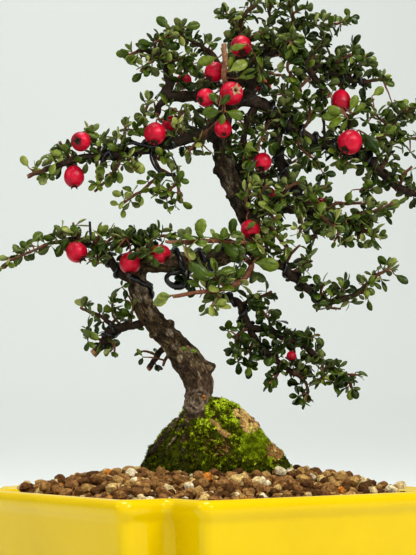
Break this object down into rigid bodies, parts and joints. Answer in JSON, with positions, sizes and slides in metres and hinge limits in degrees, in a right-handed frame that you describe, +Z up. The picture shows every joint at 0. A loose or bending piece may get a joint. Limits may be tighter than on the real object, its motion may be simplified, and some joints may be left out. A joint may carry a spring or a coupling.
{
  "type": "bonsai tree in pot",
  "caption": "Small-leaved berry-bearing bonsai with a twice-bent wired trunk on a mossy root mound, in a rectangular glazed pot with indented corners.",
  "frame": {"origin": "middle of the pot's footprint, on the table", "axes": "+Z up along the pot's height; X along the pot's long sides; the pictured front looks at the pot's -X, -Y corner"},
  "size_m": [0.1538, 0.1418, 0.261],
  "materials": {
    "glaze": "glossy yellow glaze",
    "grains": "rough lava, pumice and clay grains",
    "moss": "matt moss over roots",
    "bark": "rough bark",
    "leaf": "green twigs and semi-gloss leaves",
    "berry": "smooth crimson skin",
    "wire": "black anodised",
    "screen": "matt black plastic"
  },
  "bodies": {
    "root": {"berry_back_crown": "berry", "berry_back_middle": "berry", "berry_back_right": "berry", "berry_crown_dark": "berry", "berry_crown_front": "berry", "berry_crown_left": "berry", "berry_crown_side": "berry", "berry_drop_small": "berry", "berry_elbow_left": "berry", "berry_elbow_right": "berry", "berry_high_left_front": "berry", "berry_high_left_hanging": "berry", "berry_high_left_outer": "berry", "berry_high_left_rear": "berry", "berry_mid_left": "berry", "berry_mid_right": "berry", "berry_right_inner": "berry", "berry_right_large": "berry", "berry_right_upper": "berry", "berry_trunk_front": "berry", "berry_upper_left": "berry", "branch_back_left": "leaf", "branch_back_middle": "leaf", "branch_drop": "leaf", "branch_elbow": "leaf", "branch_high_left": "leaf", "branch_low_left": "leaf", "branch_low_right": "leaf", "branch_mid_left": "leaf", "branch_mid_right": "leaf", "branch_right": "leaf", "branch_stub_low": "leaf", "branch_upper_left": "leaf", "crown_back": "leaf", "crown_left": "leaf", "crown_right": "leaf", "drain_screen_left": "screen", "drain_screen_right": "screen", "mound": "moss", "pot": "glaze", "shoot_front_lower": "leaf", "shoot_front_upper": "leaf", "soil": "grains", "sprig_trunk": "leaf", "trunk": "bark", "wire_crown_right": "wire", "wire_drop": "wire", "wire_elbow": "wire", "wire_high_left": "wire", "wire_low_left": "wire", "wire_low_right": "wire", "wire_mid_left": "wire", "wire_right": "wire", "wire_right_drop": "wire", "wire_trunk_level": "wire"}
  },
  "joints": []
}
